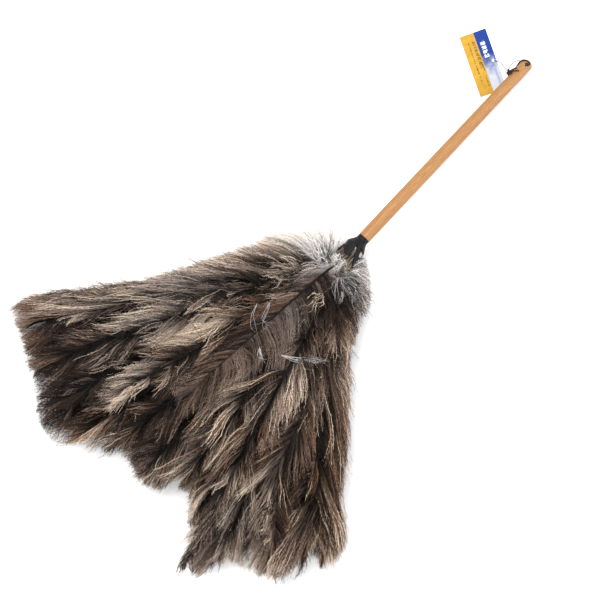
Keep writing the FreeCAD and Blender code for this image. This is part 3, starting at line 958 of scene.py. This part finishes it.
def barb_tree():
    """Geometry Nodes that put one barb on every root point of a feather and bend it along its own curve.
    A root point carries the five coefficients of that curve, and its width's direction."""
    group = bpy.data.node_groups.new("feather_barbs", "GeometryNodeTree")
    for name, kind in (("Feather", "Geometry"), ("Barb", "Object"),
                       ("Barb Width", "Float"), ("Wave", "Float"),
                       ("Floor", "Float"), ("Seed", "Int"), ("Finish", "Material")):
        group.interface.new_socket(name, in_out="INPUT", socket_type="NodeSocket" + kind)
    group.interface.new_socket("Feather", in_out="OUTPUT", socket_type="NodeSocketGeometry")
    t = Tree(group)
    given = t.node("NodeGroupInput").outputs

    def named(name, kind="FLOAT_VECTOR"):
        return t.node("GeometryNodeInputNamedAttribute", {"data_type": kind}, {"Name": name}).outputs[0]

    def stored(geometry, name, value, kind="FLOAT_VECTOR"):
        inputs = {"Geometry": geometry, "Name": name, "Value": value}
        settings = {"data_type": kind, "domain": "POINT"}
        return t.node("GeometryNodeStoreNamedAttribute", settings, inputs).outputs[0]

    split = t.node("GeometryNodeSeparateGeometry", {"domain": "POINT"},
                   {"Geometry": given["Feather"], "Selection": named("is_root", "BOOLEAN")})
    roots = stored(split.outputs["Selection"], "root", t.node("GeometryNodeInputPosition").outputs[0])
    random = t.node("FunctionNodeRandomValue", {"data_type": "FLOAT"}, {"Seed": given["Seed"]})
    roots = stored(roots, "phase", random.outputs[1], "FLOAT")
    pattern = t.node("GeometryNodeObjectInfo", None, {"Object": given["Barb"]}).outputs["Geometry"]
    barbs = t.node("GeometryNodeInstanceOnPoints", None, {"Points": roots, "Instance": pattern})
    real = t.node("GeometryNodeRealizeInstances", None, {"Geometry": barbs.outputs[0]}).outputs[0]

    own = t.vector("SUBTRACT", t.node("GeometryNodeInputPosition").outputs[0], named("root"))
    share, width, lift = t.parts(own)
    bent = named("bend_5")
    for power in (4, 3, 2, 1):
        bent = t.vector("ADD", named(f"bend_{power}"), t.vector("SCALE", bent, scale=share))
    bent = t.vector("ADD", named("root"), t.vector("SCALE", bent, scale=share))
    phase = Number(t, named("phase", "FLOAT"))
    lock = Number(t, named("lock_phase", "FLOAT"))
    wave = (share * (3.0 + lock * 6.0) + lock * 6.28).sine() + (share * 12.0 + phase * 6.28).sine() * 0.55
    wave = wave + (share * 27.0 + phase * 47.0).sine() * 0.24
    wave = wave * share * Number(t, given["Wave"])
    sideways = width * Number(t, given["Barb Width"]) + wave
    raised = lift * Number(t, given["Barb Width"])
    place = t.vector("ADD", bent, t.vector("SCALE", named("across"), scale=sideways))
    place = t.vector("ADD", place, t.vector("SCALE", named("upward"), scale=raised))
    x, y, z = t.parts(place)
    ground = Number(t, given["Floor"]) + phase * 0.0016 + share * 0.0006
    inputs = {"Geometry": stored(real, "along", share, "FLOAT"),
              "Position": t.joined(x, y, z.at_least(ground))}
    shaped = t.node("GeometryNodeSetPosition", None, inputs)
    both = t.node("GeometryNodeJoinGeometry")
    for part in (split.outputs["Inverted"], shaped.outputs[0]):
        t.tree.links.new(part, both.inputs[0])
    whole = t.node("GeometryNodeRealizeInstances", None, {"Geometry": both.outputs[0]})
    inputs = {"Geometry": whole.outputs[0], "Material": given["Finish"]}
    dressed = t.node("GeometryNodeSetMaterial", None, inputs)
    t.node("NodeGroupOutput", None, {0: dressed.outputs[0]})
    return group


class Barbs:
    """The barbs of one feather, one after another on each side. Neighbours lie together in locks, and
    locks in tufts, so random numbers are drawn for a tuft, for a lock or for a barb of its own."""

    def __init__(self, length, per_side, start, rng):
        self.rng = rng
        self.side = np.repeat([1.0, -1.0], per_side)
        self.count = len(self.side)
        distance = np.tile(np.linspace(start, length - 0.5 * MM, per_side), 2) + self.own(0.3 * MM)
        self.distance = np.clip(distance, 0.0, length)
        self.lock, self.locks = self.runs(2 * MM, 6 * MM)
        tuft, self.tufts = self.runs(9 * MM, 28 * MM)
        members = [np.flatnonzero(self.lock == number) for number in range(self.locks)]
        self.lead = np.array([group[len(group) // 2] for group in members])[self.lock]
        self.tuft = tuft[self.lead]

    def runs(self, shortest, longest):
        """Numbers the runs that each side's barbs fall into, and says how many there are."""
        run = np.zeros(self.count, int)
        number = -1
        for which in (1.0, -1.0):
            edge = -1.0
            for member in np.flatnonzero(self.side == which):
                if edge < 0 or self.distance[member] >= edge:
                    edge = self.distance[member] + self.rng.uniform(shortest, longest)
                    number += 1
                run[member] = number
        return run, number + 1

    def own(self, spread):
        return self.rng.normal(0, spread, self.count)

    def by_lock(self, spread):
        return self.rng.normal(0, spread, self.locks)[self.lock]

    def by_tuft(self, spread):
        return self.rng.normal(0, spread, self.tufts)[self.tuft]

    def lock_between(self, low, high):
        return self.rng.uniform(low, high, self.locks)[self.lock]

    def lock_share(self):
        return self.rng.random(self.locks)[self.lock]


class DUSTER_OT_feathers(bpy.types.Operator):
    """Every feather of the head: its shaft, and two sides of soft barbs"""

    bl_idname = "duster.feathers"
    bl_label = "Feathers"

    carried = ("root", "across", "upward", "is_root", "phase", "lock_phase")

    def execute(self, context):
        s = context.scene.duster_feathers
        self.settings = s
        finish = feather_finish([tuple(c) for c in (s.grey, s.warm, s.dark, s.cream, s.down)])
        group = barb_tree()
        pattern = bpy.data.objects.new("barb_pattern", barb_pattern(np.random.default_rng(s.seed)))
        context.scene.collection.objects.link(pattern)
        inputs = {item.name: item.identifier for item in group.interface.items_tree if item.in_out == "INPUT"}
        names = [(row, f"{row}_feather_{number:02d}")
                 for row, count in FEATHER_ROWS.items() for number in range(1, count + 1)]
        for index, (row, node) in enumerate(names, 1):
            mesh = self.roots_and_shaft(node, row, np.random.default_rng(1000 * s.seed + index))
            grower = bpy.data.objects.new("grower", mesh)
            context.scene.collection.objects.link(grower)
            barbs = grower.modifiers.new("barbs", "NODES")
            barbs.node_group = group
            width = s.barb_width * SHOWN.get(node, {}).get("width", 1.0)
            for name, value in (("Barb", pattern), ("Barb Width", width), ("Wave", s.wave),
                                ("Floor", 0.3 * MM), ("Seed", s.seed + index), ("Finish", finish)):
                barbs[inputs[name]] = value
            context.view_layer.update()
            depsgraph = context.evaluated_depsgraph_get()
            grown = bpy.data.meshes.new_from_object(grower.evaluated_get(depsgraph))
            bpy.data.objects.remove(grower)
            for layer in [a.name for a in grown.attributes]:
                if layer.startswith("bend_") or layer in self.carried:
                    grown.attributes.remove(grown.attributes[layer])
            piece = new_piece("plume_" + node, grown, finish)
            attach(piece, BODY)
            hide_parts(node)
        bpy.data.objects.remove(pattern)
        return {"FINISHED"}

    def roots_and_shaft(self, node, row, rng):
        """A mesh that holds the shaft's faces and, as loose points, every barb's root with its curve."""
        shown = SHOWN.get(node, {})
        line, travelled = shaft_line(node)
        if shown:
            line = self.moved(line, shown)
        tangents, outward, sideways = self.directions(line, shown, rng)
        mouth = np.interp(-MOUTH_X, -line[:, 0], travelled)
        length = travelled[-1] - mouth
        radius = np.interp(travelled, [0, mouth, mouth + 0.4 * length, travelled[-1]],
                           [0.95 * MM, 0.9 * MM, 0.62 * MM, 0.12 * MM])
        if shown:
            radius = radius * 1.35
        shell, faces = tube(line, radius, SHAFT_SIDES)
        downy = 0.02 if shown else 0.05
        shaft_down = 1.0 - np.clip((np.repeat(travelled, SHAFT_SIDES) - mouth) / downy, 0, 1)
        on_shell = {"down": np.concatenate([shaft_down, [1.0, 0.0]]), "shaft": np.ones(len(shell))}
        for bit, bit_faces in self.loose_down(line, rng) if node == TOP else []:
            faces = faces + [tuple(len(shell) + corner for corner in face) for face in bit_faces]
            shell = np.vstack([shell, bit])
            for name, value in (("down", 0.85), ("shaft", 0.0)):
                on_shell[name] = np.concatenate([on_shell[name], np.full(len(bit), value)])

        per_side = int(length / self.settings.spacing * shown.get("finer", 1.0))
        on_top = line[len(line) // 3, 2] > 0.06
        start = rng.uniform(0.004, 0.009) if on_top else rng.uniform(0.0, 0.003)
        barbs = Barbs(length, per_side, start, rng)
        at = mouth + barbs.distance

        def on_shaft(values):
            return np.stack([np.interp(at, travelled, values[:, axis]) for axis in range(3)], axis=1)

        root = on_shaft(line)
        out = unit(on_shaft(outward))
        if shown:
            root = root - out * 0.0011
        directions = (unit(on_shaft(tangents)), out, unit(on_shaft(sideways)) * barbs.side[:, None])
        coefficients, laid = self.curves(node, row, length, barbs, root, directions)
        on_roots = self.colours(node, root, coefficients, barbs, laid)

        # each barb's ribbon lies mostly level, and is rolled a little
        roll = (barbs.by_lock(0.5) + barbs.own(0.45))[:, None]
        heading = unit(coefficients[0])
        flat = unit(np.cross(heading, np.array((0.0, 0.0, 1.0)) + 0.35 * out))
        upright = unit(np.cross(flat, heading))
        vectors = {"across": np.cos(roll) * flat + np.sin(roll) * upright,
                   "upward": np.cos(roll) * upright - np.sin(roll) * flat}
        vectors.update((f"bend_{power}", part) for power, part in enumerate(coefficients, 1))
        # how much of each barb's root is spared the painted root shade
        on_roots["open_root"] = np.full(barbs.count, shown.get("lit", 0.0))
        on_roots["lock_phase"] = rng.random(barbs.tufts)[barbs.tuft] + 0.15 * barbs.lock_share()

        mesh = bpy.data.meshes.new(node)
        mesh.from_pydata([tuple(v) for v in np.vstack([shell, root])], [], faces)
        for name, values in vectors.items():
            layer = mesh.attributes.new(name, "FLOAT_VECTOR", "POINT")
            both = np.vstack([np.zeros((len(shell), 3)), values])
            layer.data.foreach_set("vector", both.astype(np.float32).ravel())
        for name in ("tone", "warmth", "down", "shaft", "along", "open_root", "lock_phase"):
            layer = mesh.attributes.new(name, "FLOAT", "POINT")
            both = np.concatenate([on_shell.get(name, np.zeros(len(shell))),
                                   on_roots.get(name, np.zeros(barbs.count))])
            layer.data.foreach_set("value", both.astype(np.float32))
        layer = mesh.attributes.new("is_root", "BOOLEAN", "POINT")
        layer.data.foreach_set("value", np.arange(len(shell) + barbs.count) >= len(shell))
        return mesh

    @staticmethod
    def directions(line, shown, rng):
        """Along a shaft, outwards from the middle of the flattened head, and sideways."""
        tangents = unit(np.gradient(line, axis=0))
        outward = np.stack([np.zeros(len(line)), line[:, 1] / HEAD_HALF[0] ** 2,
                            (line[:, 2] - MIDDLE_HEIGHT) / HEAD_HALF[1] ** 2], axis=1)
        outward += np.array((0.0, 0.0, 2.0)) * (outward[:, 2:3] > -4.0)
        outward -= tangents * np.sum(outward * tangents, axis=1, keepdims=True)
        outward = unit(outward)
        sideways = np.cross(tangents, outward)
        if not shown:
            turned = rng.normal(0, math.radians(20))
            outward, sideways = (outward * math.cos(turned) + sideways * math.sin(turned),
                                 sideways * math.cos(turned) - outward * math.sin(turned))
        return tangents, outward, sideways

    def curves(self, node, row, length, barbs, root, directions):
        """The coefficients of every barb's curve, and what the laid tufts add to tone and warmth."""
        rng, side, lead = barbs.rng, barbs.side, barbs.lead
        forward, out, across = directions
        shown = SHOWN.get(node, {})
        loose = shown.get("loose", 1.0)
        along = barbs.distance / MM
        from_tip = (length - barbs.distance) / MM
        angle = table(ANGLE, along)
        if shown:
            angle = np.where(side > 0, *shown["angles"]) + 20 * np.exp(-along / 20)
        angle = np.minimum(angle, table(TIP_ANGLE, from_tip))
        angle = np.maximum(angle + (barbs.by_tuft(14) + barbs.by_lock(5)) * loose, 4.0)
        reach = table(LENGTH, along) * table(TIP_LENGTH, from_tip) * self.settings.barb_length
        reach = reach * rng.uniform(0.66, 1.15, barbs.tufts)[barbs.tuft] * barbs.lock_between(0.86, 1.08)
        # longer beside the collar, on the side that the tag lies on
        x, y = root[:, 0] / MM, root[:, 1] / MM
        reach = reach * (1 + 0.5 * np.exp(-((x - 20) / 45) ** 2) * np.clip(y / 20, 0, 1))
        lift = (26 if row != "inner" else 12) + barbs.by_tuft(24) * loose
        lift = np.clip(lift, -12, 75) + barbs.by_lock(7)
        if shown:
            lift = 2 + barbs.by_lock(3)
        curl = barbs.by_tuft(0.16) * loose
        swing = (barbs.by_tuft(0.14) + barbs.by_lock(0.05)) * loose
        laid = np.zeros((2, barbs.count))
        for name, first, last, which, heading, fan, size, more_tone, more_warmth in LAID_TUFTS:
            if name != node:
                continue
            share = (x - first) / (last - first)
            here = (share > 0) & (share < 1)
            across = np.where(here[:, None], across * (side * which)[:, None], across)
            angle = np.where(here, heading + fan * (0.5 - share) + barbs.by_lock(3), angle)
            lift = np.where(here, 24 + barbs.by_lock(4), lift)
            reach = np.where(here, size * MM * barbs.lock_between(0.86, 1.04), reach)
            laid = np.where(here, np.array((more_tone, more_warmth))[:, None], laid)

        # beside the collar the barbs are short wisps that stand straight out
        stiff = np.clip(0.15 + along / 45, 0, 1)

        def curve(theta, rise, size):
            theta, rise, size = np.radians(theta)[:, None], np.radians(rise)[:, None], size[:, None]
            first = np.cos(theta) * forward + np.sin(theta) * (np.cos(rise) * across + np.sin(rise) * out)
            bend = (BEND * np.sin(theta) + curl[:, None]) * stiff[:, None]
            second = bend * forward + swing[:, None] * out
            sag = np.clip(SAG + 0.3 * np.abs(first[:, 2:3]), 0, 0.9) * (0.4 + 0.6 * stiff[:, None])
            third = np.array((0.0, 0.0, -1.0)) * sag
            size = size / np.sqrt(1 + 2 * bend * np.cos(theta) + bend ** 2)
            return [first * size, second * size, third * size]

        # a lock that would leave the outline lies closer to the shaft or is shorter, or is only shorter
        yields = barbs.lock_share() < 0.7
        for _ in range(7):
            over = yields & (past_outline((root + sum(curve(angle, lift, reach)))[lead]) > 0)
            angle = np.where(over, angle * 0.84, angle)
        leader = curve(angle, lift, reach)
        stray = rng.random(barbs.count) < 0.05
        wild = 1 + 3.0 * (1 - stiff)
        k1, k2, k3 = curve(angle + wild * barbs.own(5.5) + stray * barbs.own(22),
                           lift + wild * barbs.own(8.0) + stray * 16.0,
                           reach * rng.uniform(0.45 + 0.33 * stiff, 1.2 - 0.14 * stiff))
        # a lock's barbs are pulled towards its leader, c
        pull = (barbs.lock_between(-0.15, 0.45) * (1 - stray) * loose)[:, None]
        c1, c2, c3 = (part[lead] for part in leader)
        coefficients = [k1, k2 + pull * (root[lead] - root), k3 + pull * (c1 - k1),
                        pull * (c2 - k2), pull * (c3 - k3)]
        inset = barbs.lock_between(0, 8 * MM) * (barbs.lock_share() < 0.33)
        allowed = rng.exponential(OVERSHOOT, barbs.count) * np.where(barbs.lock_share() < 0.2, 2.4, 0.8)
        return self.kept_inside(node, root, coefficients, allowed - inset, inset), laid

    @staticmethod
    def loose_down(shaft, rng):
        """Thin curled strands of down on the top feather's barbs, which sag away from its shaft."""
        shaft = shaft / MM
        bits = []
        for strands, points in LOOSE_DOWN:
            points = np.array(points, float)
            shaft_y, shaft_z = (np.interp(-points[:, 0], -shaft[:, 0], shaft[:, axis]) for axis in (1, 2))
            heights = shaft_z + 3.0 - 0.0028 * (points[:, 1] - shaft_y) ** 2
            spread = np.linspace(0.8, 3.0, len(points))[:, None]
            for _ in range(strands):
                strand = np.column_stack([points, heights]) + spread * rng.normal(0, 0.9, (len(points), 3))
                line, along = smooth_line(strand * MM, 12)
                bits.append(tube(line, (0.22 - 0.16 * along / along[-1]) * MM, 4))
        return bits

    @staticmethod
    def moved(line, shown):
        """A shaft's line moved sideways and up, to where it shows from above."""
        (x0, y0), (x1, y1) = shown["line"]
        back = -line[:, 0] / MM
        ends = [-x0, -x1]
        wanted = np.interp(back, ends, [y0, y1]) * MM
        weight = np.interp(back, [-x0 - 40, -x0, -x1, -x1 + 40], [0, 1, 1, 1])
        moved = line.copy()
        moved[:, 1] += (wanted - np.interp(back, ends, np.interp(ends, back, line[:, 1]))) * weight
        moved[:, 2] += shown["rise"] * MM * weight
        return moved

    @staticmethod
    def in_the_way(node, root, coefficients):
        """Whether a barb stands too tall, or lies over another feather's shaft that shows from above."""
        wrong = np.zeros(len(root), bool)
        for share in (0.2, 0.4, 0.6, 0.8, 1.0):
            point = root + sum(part * share ** power for power, part in enumerate(coefficients, 1))
            wrong |= point[:, 2] > TALLEST
            for owner, start, end, height, width in CLEAR:
                start, end = np.array(start) * MM, np.array(end) * MM
                run = end - start
                along = np.clip((point[:, :2] - start) @ run / (run @ run), 0, 1)
                gap = np.linalg.norm(point[:, :2] - start - along[:, None] * run, axis=1)
                wrong |= (gap < width * MM) & (point[:, 2] > height * MM) & (owner != node)
        return wrong

    def kept_inside(self, node, root, coefficients, allowed, inset):
        """Lengthens the barbs that end just inside the outline, and shortens the ones that leave it,
        stand too tall, or hide a shaft that shows."""
        for _ in range(8):
            gap = past_outline(root + sum(coefficients))
            short = (gap > -0.026) & (gap < -0.002 - inset)
            coefficients = [part * np.where(short, 1.07, 1.0)[:, None] for part in coefficients]
        for _ in range(10):
            tip = root + sum(coefficients)
            over = past_outline(tip) > np.minimum(allowed, 4 * OVERSHOOT)
            over |= (np.abs(tip[:, :2]) > FURTHEST).any(axis=1)
            over |= self.in_the_way(node, root, coefficients)
            coefficients = [part * np.where(over, 0.86, 1.0)[:, None] for part in coefficients]
        return coefficients

    @staticmethod
    def colours(node, root, coefficients, barbs, laid):
        """Each barb's tone, warmth and share of white down. A few barbs side by side make one strand."""
        rng = barbs.rng
        shown = SHOWN.get(node, {})
        spot = (root * 0.35 + (root + sum(coefficients)) * 0.65) / MM
        x, y = spot[:, 0], spot[:, 1]
        strand = np.cumsum(rng.random(barbs.count) < 0.4)
        strands = strand[-1] + 1
        uneven = shown.get("uneven", 1.0)
        tone = 0.38 + rng.uniform(-0.06, 0.08) + barbs.by_tuft(0.17) + barbs.by_lock(0.10)
        tone = tone + uneven * rng.normal(0, 0.30, strands)[strand] + barbs.own(0.06)
        tone = tone + np.where(rng.random(strands) < 0.10, 0.42, -0.10)[strand] * uneven
        warmth = 0.58 + shown.get("warmth", 0.0) + rng.uniform(-0.12, 0.12) + barbs.by_tuft(0.12)
        tone, warmth = tone + laid[0], warmth + laid[1]
        # tinted places on the head; the darkening ones are partly painted shade on lower-lying feathers
        for cx, cy, rx, ry, tone_add, warmth_add in TINT_AND_SHADE_PATCHES:
            near = patch(x, y, (cx, cy), (rx, ry))
            tone = tone + tone_add * near
            warmth = warmth + warmth_add * near
        tone = tone + 0.5 * patch(x, y, (-268, 90), (60, 60)) * (rng.random(strands) < 0.16)[strand]
        # down beside the quills, in separate locks, and a patch of it on one side of the collar
        white = barbs.lock_share() * 0.55 + rng.random(strands)[strand] * 0.45
        down = np.clip(1.0 - (barbs.distance / MM - 4) / 26.0, 0, 1) ** 1.2 * (0.75 if shown else 1.0)
        down = down * np.clip((white - np.where(y < 0, 0.46, 0.24)) / 0.2, 0.05, 1)
        down = down + 0.9 * patch(x, y, (26, 38), (30, 24)) * np.clip((white - 0.35) / 0.2, 0, 1)
        values = {"tone": tone, "warmth": warmth, "down": down}
        return {name: np.clip(value, 0, 1) for name, value in values.items()}


# ---------------------------------------------------------------- add-on

SETTINGS = {
    "duster_handle": DusterHandleSettings,
    "duster_cuff": DusterCuffSettings,
    "duster_tag": DusterTagSettings,
    "duster_feathers": DusterFeatherSettings,
}
OPERATORS = (DUSTER_OT_stage, DUSTER_OT_thread, DUSTER_OT_handle, DUSTER_OT_cuff, DUSTER_OT_lace,
             DUSTER_OT_tag, DUSTER_OT_feathers)


class DUSTER_PT_panel(bpy.types.Panel):
    """Lists the duster's pieces and their sizes and colours"""

    bl_label = "Feather duster"
    bl_idname = "DUSTER_PT_panel"
    bl_space_type = "VIEW_3D"
    bl_region_type = "UI"
    bl_category = "Duster"

    def draw(self, context):
        for operator in OPERATORS:
            self.layout.operator(operator.bl_idname)
        for name, group in SETTINGS.items():
            box = self.layout.box()
            for setting in group.__annotations__:
                box.prop(getattr(context.scene, name), setting)


def register():
    for group in (*SETTINGS.values(), *OPERATORS, DUSTER_PT_panel):
        bpy.utils.register_class(group)
    for name, group in SETTINGS.items():
        setattr(bpy.types.Scene, name, bpy.props.PointerProperty(type=group))


def unregister():
    for name in SETTINGS:
        delattr(bpy.types.Scene, name)
    for group in reversed((*SETTINGS.values(), *OPERATORS, DUSTER_PT_panel)):
        bpy.utils.unregister_class(group)


def main():
    register()
    bpy.ops.duster.stage()
    bpy.ops.duster.thread()
    bpy.ops.duster.handle()
    bpy.ops.duster.cuff()
    bpy.ops.duster.lace()
    bpy.ops.duster.tag()
    bpy.ops.duster.feathers()


if __name__ == "__main__":
    main()
